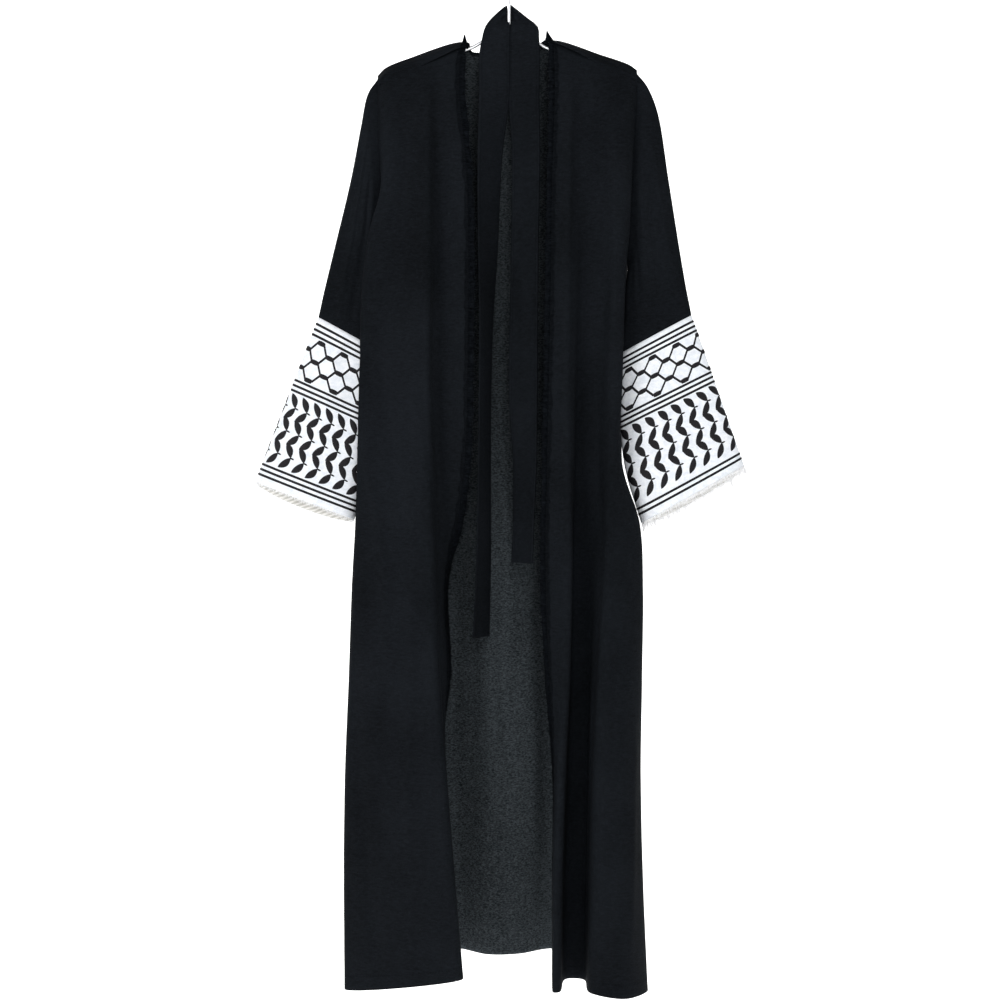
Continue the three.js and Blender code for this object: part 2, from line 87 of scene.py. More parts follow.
# columns: side seam, side fold, plane, crest, outer hollow, inner hollow, the ridge's
# two sides, front edge
RIGHT_FRONT = panel_net(
    (0, [191, -7.5, -171], [180, -10.5, -163.6], [165, -12, -157], [150, -12.4, -150.6],
     [128, -12.4, -142.4], [104, -11.9, -133.8], [91, -11.6, -127.8], [80, -11.2, -123],
     [56, -9.9, -110.8]),
    (-190, [190.3, -7], [181, -17], [170, -21], [155, -24], [131, -19], [106, -19], [92, -25],
     [83, -25.5], [56, -22]),
    (-260, [187, -7.5], [181, -21], [170, -27], [156, -30], [132, -21], [105, -21], [91, -31],
     [83, -32], [54, -27]),
    (-330, [183.6, -7.5], [180, -23], [170, -31], [156, -35], [132, -22], [105, -22], [91, -36],
     [83, -37], [52, -30]),
    (-400, [180.3, -7], [177, -24], [168, -35], [156, -38], [132, -23], [105, -23], [91, -40],
     [83, -41], [51, -32]),
    (-480, [168, -4], [173, -25], [166, -37], [154, -41], [131, -23], [104, -23], [91, -42],
     [83, -43.5], [50, -33]),
    (-600, [158, -1], [169, -27], [163, -40], [152, -44], [130, -23], [102, -22], [91, -45],
     [83, -47], [48, -34]),
    (-740, [157, -1], [168, -28], [161, -43], [149, -48], [127, -20], [100, -17], [91, -47],
     [83, -49], [45, -34]),
    (-830, [187, -1], [194, -27], [165, -47], [145, -51], [124, -16], [99, -12], [91, -47],
     [83, -49], [43, -33]),
    (-920, [191, -1], [199, -26], [168, -51], [140, -54], [121, -11], [97, -7], [91, -47],
     [83, -49], [43, -32]),
    (-1060, [191, -1], [197.5, -27], [167, -56], [133, -56], [118, -6], [95, -2], [88, -47],
     [80, -49.5], [50, -27]),
    (-1200, [189, -1], [195.5, -28], [165, -61], [128, -57], [116, -1], [91, 2], [81, -48],
     [72.5, -50.5], [63, -16]),
    (-1350, [192, -1], [198.5, -29], [166, -66], [124, -57], [114, 2], [88, 4], [76, -49],
     [67, -51.5], [64, -15]),
    (0, [200, -1, -1522], [205.5, -30, -1522], [168, -70, -1522], [119, -58, -1517],
     [111, 3, -1515], [86, 5, -1515], [74, -50, -1518], [65, -52.5, -1518], [65, -14, -1516]),
)
# columns: left armhole and side seam, left fold, left plane, left neck point, left neck,
# middle, right neck, right neck point, right plane, right fold, right side seam.
# The first three levels go over the shoulders, from the forward seam to the back.
BACK = panel_net(
    (0, [-196.6, -9.5, -175], [-184, -11, -169], [-150, -12.4, -155.4], [-66, -10, -115.8],
     [-56, 10, -112], [-4, 18, -130], [44, 12, -113], [60, -10, -109.4], [140, -12.4, -145],
     [180, -11, -162], [191.6, -9.5, -169]),
    (0, [-197, 0, -159], [-186, 0, -147.5], [-150, 0, -132.5], [-67, 0, -108.5], [-57, 12, -118],
     [-4, 19, -136], [45, 13, -119], [61, 0, -106], [140, 0, -128], [181, 0, -142.5],
     [192, 0, -150.5]),
    (0, [-196.6, 8, -174], [-184, 10, -163], [-150, 11, -148], [-68, 11, -125], [-58, 14, -128],
     [-4, 21, -146], [46, 15, -129], [62, 11, -123], [140, 11, -144], [180, 10, -157.5],
     [191.4, 8, -168]),
    (-220, [-195.5, 7.5], [-186, 20], [-150, 28], [-98, 27], [-62, 31], [-14, 28], [30, 30],
     [70, 33], [140, 29], [183, 20], [188.9, 7.5]),
    (-330, [-193.1, 7.5], [-192, 24], [-150, 37], [-104, 33], [-68, 39], [-20, 33], [22, 36],
     [66, 41], [138, 38], [184, 24], [183.6, 7.5]),
    (-450, [-189, 4], [-212, 28], [-155, 45], [-110, 38], [-72, 47], [-24, 37], [18, 41],
     [64, 49], [136, 44], [180, 28], [172, 5]),
    (-600, [-174, 1], [-216, 31], [-160, 51], [-114, 42], [-74, 54], [-26, 41], [15, 45],
     [63, 56], [134, 49], [174, 30], [158, 1]),
    (-740, [-189, 1], [-220, 32], [-164, 56], [-117, 46], [-76, 60], [-28, 44], [14, 48],
     [63, 62], [136, 53], [171, 31], [157, 1]),
    (-830, [-210, 1], [-223, 31], [-167, 58], [-119, 48], [-77, 64], [-29, 45], [13, 50],
     [64, 66], [140, 55], [192, 30], [187, 1]),
    (-920, [-226, 1], [-229, 30], [-170, 61], [-121, 50], [-78, 68], [-30, 47], [13, 51],
     [64, 70], [144, 57], [197, 29], [191, 1]),
    (-1100, [-233.5, 1], [-235.5, 30], [-174, 65], [-124, 53], [-79, 75], [-30, 49], [13, 54],
     [65, 76], [147, 60], [196, 29], [190, 1]),
    (-1300, [-239, 1], [-241, 31], [-176, 69], [-127, 56], [-80, 81], [-31, 52], [13, 56],
     [66, 82], [149, 63], [196, 30], [191, 1]),
    (-1492, [-239, 1], [-243, 31], [-178, 72], [-129, 60], [-81, 88], [-31, 55], [13, 58],
     [67, 88], [152, 66], [202.5, 30], [200, 1]),
)
# rings of the sleeves and cuffs: x and z of the overarm fold and of the underarm fold, half
# depth, and how far the back hangs below the front
LEFT_SLEEVE = [
    (-197.6, -161, -191, -446, 6.5),
    (-212, -188, -193, -462, 12),
    (-222, -236, -194, -482, 14),
    (-237, -314, -192, -512, 15),
    (-262, -420, -188, -548, 14),
    (-286, -521, -183, -578, 13),
]
LEFT_CUFF = [
    (-286.3, -522, -183.2, -579, 13),
    (-310, -584, -191, -640, 15),
    (-346, -677, -208, -735, 20),
    (-381, -766, -231, -824, 25, 14),
]
RIGHT_SLEEVE = [
    (192.6, -153, 179, -440, 6.5),
    (210, -179, 181, -458, 12),
    (224, -216, 179.5, -474, 14),
    (240, -314, 176.5, -510, 15),
    (257, -420, 173, -545, 14),
    (273.7, -518, 169.5, -574, 13),
]
RIGHT_CUFF = [
    (274, -519, 169.7, -575, 13),
    (294, -576, 166, -640, 15),
    (324, -662, 172, -738, 20),
    (352, -743, 198, -829, 24, 12),
]
# columns: x, y, z, turn and stand in degrees, width. It goes up, round the stem and
# down. stand is 0 where its width lies across, and -90 behind the stem, where it
# stands up.
BELT = [
    [-41, -12, -1000, 58, 0, 45], [-39, -13, -950, 61, 0, 45], [-37, -13, -880, 63, 0, 45],
    [-36, -13, -785, 66, 0, 45], [-35, -13, -650, 68, 0, 45], [-33, -13, -520, 64, 0, 45],
    [-31, -12, -430, 52, 0, 45], [-28, -10, -280, 36, 0, 45], [-23, -8, -190, 16, 0, 45],
    [-22.8, -5.5, -130, 6, 0, 44], [-20.6, -5.2, -104, 2, 0, 40], [-18.5, -5.2, -89, 0, -8, 35],
    [-15, -2, -79, 0, -28, 26], [-6, 3.2, -68, 0, -74, 25], [0, 3.4, -63, 0, -90, 26],
    [6, 3.2, -68, 0, -106, 25], [15.2, -2.2, -78, 0, -150, 26], [22.6, -5.4, -89, 0, -174, 42],
    [23.2, -5.2, -104, 0, -180, 44], [23.6, -5.5, -128, 4, -180, 45],
    [23.4, -8, -190, 12, -180, 45], [25, -9, -273, 22, -180, 45], [23, -10, -430, 26, -180, 45],
    [21, -11, -640, 20, -180, 45], [23, -11, -745, 40, -180, 45], [21, -11, -830, 47, -180, 45],
    [19, -11, -889, 46, -180, 45],
]
HANGER_CENTRE_Z = -100  # where the stem meets the arms
# the hanger's right arm: distance from the middle, height. The left arm mirrors it.
ARM = [
    [0, HANGER_CENTRE_Z], [30, -103.7], [60, -118.2], [110, -130.6], [150, -141], [172, -150.6],
]
ROD_RADIUS = 2.5
HOOK_RADIUS = 17
HOOK_END_ANGLE = -0.35  # in radians

THIN = 1.2  # thickness of the crepe as it shows
CUFF_THICKNESS = 1.3
BELT_THICKNESS = 1.6
TRIM_WIDTH = 12  # cut off the fronts' edges for the trim
TRIM_OVERLAP = 7  # how far the trim's upper threads lie on the cloth
NECK_TRIM_WIDTH = 5
# the tufts at the neck points: the tip, and the columns of the neck's edge they start from
NECK_TUFTS = [((-66.5, 0, -97.5), 2.87, 3.4), ((57.2, 0, -92), 6.6, 7.13)]
NECK_DIP = 11  # how far the back neck's left part sags below the panel's net
SHOULDER_LAP = (0, 2.0, 7.6)  # how far a front's top edge laps over the back
ARMHOLE_LAP = 2.2  # how far a sleeve's first row goes under the armhole's edge
ARMHOLE_TOP, ARMHOLE_END = -190, -430
SEAM_REACH = 12  # width of the strip that a side seam draws in
HEM_DEPTH = 18  # the hems' stitching lies this far up
STITCH, STITCH_PITCH = 3.0, 4.4
BELT_MEETS = (-195, -78)  # the heights between which the belt's halves hang closed

# rows and columns of each grid, and how many threads each trim has
FRONT_GRID, BACK_GRID, BELT_GRID = (230, 84), (236, 132), (300, 22)
SLEEVE_GRID, CUFF_GRID = (74, 128), (66, 148)
EDGE_THREADS, NECK_THREADS, NECK_TUFT_THREADS, CUFF_THREADS = 3000, 330, 200, 900

# ---- creases laid in one by one ----
# (column, z, column, z, width, height); columns count as in the nets, the rest is in
# millimetres, and a negative height is a trough
LEFT_CREASES = [
    (1.6, -260, 1.9, -1100, 9, 2.2), (2.4, -330, 2.6, -1480, 12, -2.0),
    (2.1, -700, 2.2, -1500, 8, 1.8), (3.4, -420, 3.5, -1200, 6, -1.6),
    (4.6, -180, 4.9, -700, 8, 1.5), (5.4, -300, 5.2, -900, 7, -1.5),
    (1.2, -1000, 1.7, -1510, 10, -2.0), (2.8, -900, 3.0, -1510, 9, 1.5),
    (1.0, -520, 2.0, -600, 8, 1.2),
]
RIGHT_CREASES = [
    (1.6, -240, 1.8, -900, 7, 1.6), (3.2, -300, 3.5, -1300, 9, -1.8),
    (4.5, -220, 4.6, -1000, 8, 1.8), (5.4, -200, 5.5, -800, 7, -1.6),
    (2.3, -900, 2.4, -1500, 9, -2.2), (3.6, -1000, 3.8, -1500, 8, 2.0),
    (1.4, -1100, 1.8, -1500, 8, 2.0), (7.5, -250, 7.4, -900, 7, 1.2),
]
BACK_CREASES = [
    (1.6, -300, 1.7, -1450, 12, 3.8), (2.5, -250, 2.4, -1300, 14, -3.8),
    (3.5, -330, 3.5, -1480, 11, 3.2), (4.5, -280, 4.4, -1400, 13, -3.5),
    (5.6, -400, 5.6, -1480, 9, 3.5), (6.5, -260, 6.6, -1480, 14, -3.2),
    (7.6, -300, 7.6, -1480, 12, 3.8), (8.5, -350, 8.5, -1450, 13, -3.5),
    (9.3, -260, 9.3, -800, 9, 2.9), (5.35, -1070, 5.9, -1240, 6, 2.4),
    (2.2, -900, 3.2, -1200, 10, 2.2), (7.0, -700, 8.2, -980, 10, -2.1),
]
# (turn, down, turn, down, width, height) on the sleeves and cuffs
LEFT_SLEEVE_CREASES = [
    (0.10, 0.05, 0.14, 0.95, 9, 2.0), (0.22, 0.10, 0.24, 1.0, 11, -2.2),
    (0.34, 0.02, 0.33, 0.85, 9, 1.8), (0.42, 0.0, 0.30, 0.5, 8, -1.6),
    (0.60, 0.05, 0.66, 0.9, 10, 2.0), (0.72, 0.1, 0.74, 1.0, 11, -2.0),
    (0.86, 0.05, 0.84, 0.9, 9, 1.8),
]
RIGHT_SLEEVE_CREASES = [
    (0.12, 0.05, 0.10, 0.95, 9, 2.0), (0.20, 0.05, 0.22, 0.9, 8, -1.8),
    (0.30, 0.0, 0.27, 1.0, 11, 2.0), (0.40, 0.0, 0.36, 0.7, 9, -2.0),
    (0.58, 0.05, 0.62, 0.9, 10, 2.0), (0.70, 0.1, 0.73, 1.0, 12, -2.2),
    (0.88, 0.05, 0.85, 0.9, 9, 1.6), (0.5, -0.1, 0.5, 1.2, 18, 5.0),
]
LEFT_CUFF_CREASES = [
    (0.18, 0.0, 0.20, 1.0, 13, 1.6), (0.33, 0.1, 0.30, 1.0, 13, -1.8),
    (0.68, 0.0, 0.66, 1.0, 14, 2.0), (0.83, 0.1, 0.85, 1.0, 14, -1.8),
]
RIGHT_CUFF_CREASES = [
    (0.15, 0.0, 0.17, 1.0, 13, -1.6), (0.31, 0.1, 0.33, 1.0, 13, 1.8),
    (0.66, 0.0, 0.64, 1.0, 14, -2.0), (0.84, 0.1, 0.82, 1.0, 14, 1.8),
]

# ---- the cuffs' embroidery ----
# places are shares of the cuff's length; sizes are in millimetres
LINES = [0.034, 0.065, 0.095, 0.372, 0.402, 0.432]  # the lines round both cuffs
LINE_WIDTH = 3.7
LINE_STITCHES = 420
NET_CORD = 3.2
NET_TOP, NET_LOW, NET_ROWS, NET_COLUMNS = 0.122, 0.345, 5, 7
NET_KNOT = (13.5, 7.2)  # length and width
VINE_TOP, VINE_LOW, VINE_REPEATS, VINE_COLUMNS = 0.455, 0.87, 3, 16
VINE_SLANT = 12.5  # how far a leaf goes sideways
VINE_LEAF = (24, 10.2)  # length and width
VINE_BOW = 1.5
VINE_THORN = (7, 2.6)

# Each side's net or rings, creases and seed. out says which side of the grids' normals is the
# cloth's right side, low_lines where more lines go round the cuff, and net_turn where its net
# starts, as a share of the girth.
SIDES = {
    "left": SimpleNamespace(
        out=-1,
        front=(LEFT_FRONT, LEFT_CREASES, 11),
        sleeve=(LEFT_SLEEVE, LEFT_SLEEVE_CREASES, 51),
        cuff=(LEFT_CUFF, LEFT_CUFF_CREASES, 61),
        cuff_fringe=5,
        low_lines=[0.893, 0.923, 0.953],
        net_turn=-0.052),
    "right": SimpleNamespace(
        out=1,
        front=(RIGHT_FRONT, RIGHT_CREASES, 23),
        sleeve=(RIGHT_SLEEVE, RIGHT_SLEEVE_CREASES, 57),
        cuff=(RIGHT_CUFF, RIGHT_CUFF_CREASES, 67),
        cuff_fringe=15,
        low_lines=[0.918, 0.950],
        net_turn=0.01),
}

# ---- the room, in metres ----
FLOOR_Z, WALL_Y = -1.95, 4.2
SWEEP_BEND, SWEEP_FRONT, SWEEP_TOP, SWEEP_HALF = 1.2, -12.0, 9.0, 14.0
# the backdrop's painted falloff of light: its colour and glow dim this far from the garment
STAGE_REACH = 12.0  # how far from the garment the floor and wall have faded
WORLD_STRENGTH = 0.3
# name, place, target, size, watts
LIGHTS = [
    ("key", (-2.3, -2.4, 0.5), (0, 0, -0.8), (1.4, 2.2), 70),
    ("fill", (0.5, -3.4, 0.5), (0, 0, -0.6), (1.0, 1.0), 24),
    ("back", (-3.0, 2.4, 0.6), (0, 0, -0.8), (0.8, 2.0), 110),
    ("rim", (2.8, -1.0, 0.0), (0, 0, -0.8), (1.2, 2.4), 20),
]
CAMERA_PLACE = (-0.01275, -2.4, -0.79575)
CAMERA_LENS = 57.54  # in millimetres, as is the sensor
CAMERA_SENSOR = 36


# ---- curves and grids ----


def spline(controls, at):
    """Points at `at` (in steps of controls) on centripetal Catmull-Rom curves.

    controls is (count, ..., 3): all curves run along its first axis.
    """
    controls = np.asarray(controls, float)
    last = len(controls) - 1
    before, after = 2 * controls[:1] - controls[1:2], 2 * controls[-1:] - controls[-2:-1]
    padded = np.concatenate([before, controls, after])
    out = []
    for value in at:
        index = min(int(value), last - 1)
        step = value - index
        p0, p1, p2, p3 = padded[index:index + 4]
        d0, d1, d2 = [np.maximum(((b - a) ** 2).sum(-1, keepdims=True) ** 0.25, 1e-9)
                      for a, b in ((p0, p1), (p1, p2), (p2, p3))]
        m1 = ((p1 - p0) / d0 - (p2 - p0) / (d0 + d1) + (p2 - p1) / d1) * d1
        m2 = ((p2 - p1) / d1 - (p3 - p1) / (d1 + d2) + (p3 - p2) / d2) * d1
        c2 = 3 * (p2 - p1) - 2 * m1 - m2
        c3 = 2 * (p1 - p2) + m1 + m2
        out.append(p1 + m1 * step + c2 * step ** 2 + c3 * step ** 3)
    return np.array(out)


def lengths_along(points):
    """Distance reached at each point of each row of (rows, points, 3)."""
    steps = np.linalg.norm(np.diff(points, axis=1), axis=2)
    return np.concatenate([np.zeros((len(points), 1)), np.cumsum(steps, axis=1)], axis=1)


def path_lengths(path):
    return lengths_along(path[None])[0]


def sample(want, reached, field):
    """A path's points, or what goes with them, at the wanted distances."""
    return np.stack([np.interp(want, reached, field[:, axis]) for axis in range(3)], axis=1)


def resample(points, reached, targets):
    """Each row's points at its target distances."""
    return np.array([sample(*row) for row in zip(targets, reached, points)])


def unit(vectors):
    return vectors / np.maximum(np.linalg.norm(vectors, axis=-1, keepdims=True), 1e-12)


def nearest(values, value):
    return int(np.argmin(np.abs(values - value)))


class Grid:
    """A sheet as rows of points, with each point's distance across (s), height (z) and place
    among the net's columns (c). outward is +1 or -1, for the side that is the cloth's right
    side."""

    def __init__(self, points, s, z, c, outward, around=False):
        self.points, self.s, self.z, self.c = points, s, z, c
        self.outward, self.around = outward, around

    def normals(self):
        p = self.points
        if self.around:
            across = np.roll(p, -1, axis=1) - np.roll(p, 1, axis=1)
        else:
            across = np.gradient(p, axis=1)
        return unit(np.cross(across, np.gradient(p, axis=0))) * self.outward

    def raise_by(self, relief):
        self.points = self.points + self.normals() * relief[:, :, None]


def even_rows(net, count):
    """Places along the net's levels that are evenly spaced down its middle column."""
    dense = np.linspace(0, len(net) - 1, 400)
    reached = path_lengths(spline(np.asarray(net)[:, len(net[0]) // 2], dense))
    return np.interp(np.linspace(0, reached[-1], count), reached, dense)


def panel_grid(net, size, outward, cut=0.0):
    """A panel's grid of (rows, columns) from its net; cut is taken off the end of each row."""
    net = np.asarray(net, float) * MM
    rows, columns = size
    controls = spline(net, even_rows(net, rows))
    dense = np.linspace(0, net.shape[1] - 1, (net.shape[1] - 1) * 14 + 1)
    fine = spline(controls.transpose(1, 0, 2), dense).transpose(1, 0, 2)
    reached = lengths_along(fine)
    targets = (reached[:, -1:] - cut) * np.linspace(0, 1, columns)[None, :]
    points = resample(fine, reached, targets)
    c = np.array([np.interp(want, have, dense) for want, have in zip(targets, reached)])
    return Grid(points, targets, points[:, :, 2].copy(), c, outward)


def tube_grid(rings, size, outward):
    """A sleeve's or cuff's grid of (rows, columns), closed round, from its rings."""
    rows, columns = size
    angle = np.linspace(0, 2 * math.pi, 361)[:-1]
    bulge = np.sin(angle)
    net = []
    for over_x, over_z, under_x, under_z, depth, *back_drop in rings:
        over, under = np.array([over_x, 0, over_z]), np.array([under_x, 0, under_z])
        down = unit(np.array([under_z - over_z, 0.0, over_x - under_x]))
        points = over + (under - over) * ((1 - np.cos(angle)) / 2)[:, None]
        points[:, 1] = -depth * np.sign(bulge) * np.abs(bulge) ** 0.8
        if back_drop:
            points -= np.sign(down[2]) * down * (back_drop[0] * np.maximum(-bulge, 0))[:, None]
        net.append(points)
    net = np.array(net) * MM
    fine = spline(net, even_rows(net, rows))
    closed = np.concatenate([fine, fine[:, :1]], axis=1)
    reached = lengths_along(closed)
    share = np.linspace(0, 1, columns + 1)[:-1]
    targets = reached[:, -1:] * share[None, :]
    points = resample(closed, reached, targets)
    steps = np.linalg.norm(np.diff(points, axis=0), axis=2).mean(axis=1)
    down = np.concatenate([[0], np.cumsum(steps)])
    c, z = (np.broadcast_to(field, targets.shape).copy() for field in (share, down[:, None]))
    return Grid(points, targets, z, c, outward, around=True)


# ---- folds ----


def smooth(value, low, high):
    t = np.clip((value - low) / (high - low), 0, 1)
    return t * t * (3 - 2 * t)


def noise(u, v, seed):
    """Smooth noise from -1 to 1 on a lattice, the same in each run."""
    iu, iv = np.floor(u), np.floor(v)
    fu, fv = u - iu, v - iv
    fu, fv = fu * fu * (3 - 2 * fu), fv * fv * (3 - 2 * fv)

    def corner(i, j):
        h = np.sin(i * 127.1 + j * 311.7 + seed * 74.7) * 43758.5453
        return (h - np.floor(h)) * 2 - 1

    low = corner(iu, iv) * (1 - fu) + corner(iu + 1, iv) * fu
    high = corner(iu, iv + 1) * (1 - fu) + corner(iu + 1, iv + 1) * fu
    return low * (1 - fv) + high * fv


def line_noise(u, seed, row=0.0):
    """The noise along one line of the lattice."""
    return noise(u, u * 0 + row, seed)


def crease(s, z, ds, dz, width, height, wander):
    """One crease's relief in metres. s and z are each point's distances from its start, and ds
    and dz its own reach. width and height are in millimetres. wander holds the pace, seed and
    row of its swerves, and their share of its width."""
    long = math.hypot(ds, dz)
    along = (s * ds + z * dz) / long ** 2
    pace, seed, row, share = wander
    off = (s * dz - z * ds) / long + line_noise(along * pace, seed, row) * width * MM * share
    ends = smooth(along, -0.08, 0.25) * smooth(1 - along, -0.08, 0.25)
    return height * MM * np.exp(-(off / (width * MM)) ** 2) * ends


def panel_creases(grid, creases):
    """The relief in metres of a panel's creases."""
    heights = grid.z.mean(axis=1)

    def place(column, z):
        row = nearest(heights, z * MM)
        return np.interp(column, grid.c[row], grid.s[row]), z * MM

    relief = np.zeros(grid.s.shape)
    for c0, z0, c1, z1, width, height in creases:
        (s0, z0), (s1, z1) = place(c0, z0), place(c1, z1)
        relief += crease(grid.s - s0, grid.z - z0, s1 - s0, z1 - z0, width, height,
                         (3.1, 5, c0, 0.35))
    return relief


def tube_creases(grid, creases):
    """The relief in metres of a tube's creases."""
    girth, long = grid.s.max(axis=1).mean(), grid.z.max()
    relief = np.zeros(grid.s.shape)
    for c0, d0, c1, d1, width, height in creases:
        turn = (grid.c - c0 + 0.5) % 1.0 - 0.5
        relief += crease(turn * girth, grid.z - d0 * long, (c1 - c0) * girth, (d1 - d0) * long,
                         width, height, (2.7, 8, c0 * 10, 0.4))
    return relief


def hang_relief(grid, seed, sway):
    """The uneven waves of hanging cloth: long ones that grow downwards, and small puckers."""
    s, z = grid.s, grid.z
    fall = np.clip((z.max() - z) / 0.9, 0, 1)
    long = noise(s / 0.034 + z * 0.7, z / 0.55, seed) * 0.6 \
        + noise(s / 0.019, z / 0.38, seed + 1) * 0.4
    small = noise(s / 0.011, z / 0.030, seed + 2) * 0.5 \
        + noise(s / 0.0065, z / 0.013, seed + 3) * 0.3
    return (long * sway * (0.35 + 0.65 * fall) + small * 0.175) * MM


def tube_waves(grid, seed, height):
    """The uneven waves of a sleeve or cuff."""
    turn = grid.c * 2 * math.pi
    long = noise(np.cos(turn) * 2.1 + grid.z * 3, np.sin(turn) * 2.1 + grid.z * 4, seed)
    seam = smooth(grid.c, 0, 0.03) * smooth(1 - grid.c, 0, 0.03)
    small = noise(grid.c * 60, grid.z / 0.028, seed + 2) * seam
    return (long * height + small * 0.22) * MM


def edge_fade(grid, left, right, top, bottom):
    """0 at the sheet's edges and 1 inside, over the given widths in millimetres."""
    rows = path_lengths(grid.points[:, grid.points.shape[1] // 2])[:, None]
    fade = 1.0
    for distance, width in ((grid.s, left), (grid.s[:, -1:] - grid.s, right),
                            (rows, top), (rows[-1] - rows, bottom)):
        fade = fade * smooth(distance, 0, width * MM)
    return fade


# ---- meshes ----


def add_mesh(name, vertices, faces, materials, face_material=None):
    mesh = bpy.data.meshes.new(name)
    faces = faces.tolist() if isinstance(faces, np.ndarray) else faces
    mesh.from_pydata(np.asarray(vertices).tolist(), [], faces)
    for material in materials:
        mesh.materials.append(material)
    if face_material is not None:
        mesh.polygons.foreach_set("material_index", face_material)
    mesh.polygons.foreach_set("use_smooth", np.ones(len(mesh.polygons), dtype=bool))
    mesh.update()
    obj = bpy.data.objects.new(name, mesh)
    bpy.context.scene.collection.objects.link(obj)
    return obj


class Pile:
    """Vertices and faces gathered from several shapes into one mesh."""

    def __init__(self):
        self.vertices, self.faces = [], []

    def add(self, vertices, faces):
        offset = sum(len(v) for v in self.vertices)
        self.vertices.append(vertices)
        self.faces += [[k + offset for k in face] for face in faces]

    def build(self, name, material):
        return add_mesh(name, np.concatenate(self.vertices), self.faces, [material])


def quads(rows, columns, around):
    """Faces of a grid of points, row by row, and the points' numbers."""
    index = np.arange(rows * columns).reshape(rows, columns)
    if around:
        index = np.concatenate([index, index[:, :1]], axis=1)
    corners = [index[:-1, :-1], index[:-1, 1:], index[1:, 1:], index[1:, :-1]]
    return np.stack(corners, axis=-1).reshape(-1, 4), index


def capped(rows, corners):
    """Faces of a tube with closed ends."""
    last = (rows - 1) * corners
    ends = [list(range(corners))[::-1], list(range(last, last + corners))]
    return quads(rows, corners, True)[0].tolist() + ends


def shell(name, grid, thickness, materials):
    """A thin closed wall on a grid. The second material is the cloth's wrong side."""
    rows, columns = grid.points.shape[:2]
    total = rows * columns
    faces, index = quads(rows, columns, grid.around)
    turned = faces[:, ::-1]
    outer, inner = (faces, turned) if grid.outward < 0 else (turned, faces)
    lines = [(index[0], 1), (index[-1], -1)]
    if not grid.around:
        lines += [(index[:, 0], -1), (index[:, -1], 1)]
    rims = []
    for line, turn in lines:
        rim = np.stack([line[:-1], line[1:], line[1:] + total, line[:-1] + total], axis=1)
        rims.append(rim[:, ::-1] if turn * grid.outward < 0 else rim)
    faces = np.concatenate([outer, inner + total, *rims])
    wrong_side = np.zeros(len(faces), dtype=np.int32)
    wrong_side[len(outer):len(outer) + len(inner)] = 1
    back = grid.points - grid.normals() * thickness * MM
    vertices = np.concatenate([grid.points.reshape(-1, 3), back.reshape(-1, 3)])
    return add_mesh(name, vertices, faces, materials, wrong_side)


def threads(roots, ways, lengths, radius, seed=1, droop=0.0, curl=0.0, segments=3):
    """Vertices and faces of tapered three-sided threads. radius is in millimetres."""
    count = len(roots)
    lengths = np.broadcast_to(lengths, count)
    ways = unit(ways)
    helper = np.where(np.abs(ways[:, 2:3]) < 0.9, [[0, 0, 1.0]], [[1.0, 0, 0]])
    side = unit(np.cross(ways, helper))
    lift = np.cross(side, ways)
    number = np.arange(count, dtype=float)
    bend = [line_noise(number * 0.73, seed + k, 0.5) for k in range(2)]
    rings = []
    for station in range(segments + 1):
        t = station / segments
        centre = roots + ways * (lengths * t)[:, None]
        for way, swerve in zip((side, lift), bend):
            centre = centre + way * (curl * swerve * lengths * t * t)[:, None]
        centre[:, 2] -= droop * lengths * t * t
        for corner in range(3):
            angle = corner * 2 * math.pi / 3 + station
            spoke = side * math.cos(angle) + lift * math.sin(angle)
            rings.append(centre + spoke * (radius * MM * (1 - 0.6 * t)))
    starts = np.arange(count)[:, None, None] * (segments + 1) * 3
    faces = (starts + quads(segments + 1, 3, True)[0]).reshape(-1, 4)
    return np.stack(rings, axis=1).reshape(-1, 3), faces.tolist()


def rod_along(points, radius, sides):
    """Vertices and faces of a round rod along a path that lies across Y."""
    tangent = unit(np.gradient(points, axis=0))
    side = unit(np.cross(tangent, [0, 1.0, 0]))
    lift = np.cross(side, tangent)
    angle = (np.arange(sides) * 2 * math.pi / sides)[:, None]
    spokes = side[:, None] * np.cos(angle) + lift[:, None] * np.sin(angle)
    return (points[:, None] + radius * spokes).reshape(-1, 3), capped(len(points), sides)


# ---- materials ----


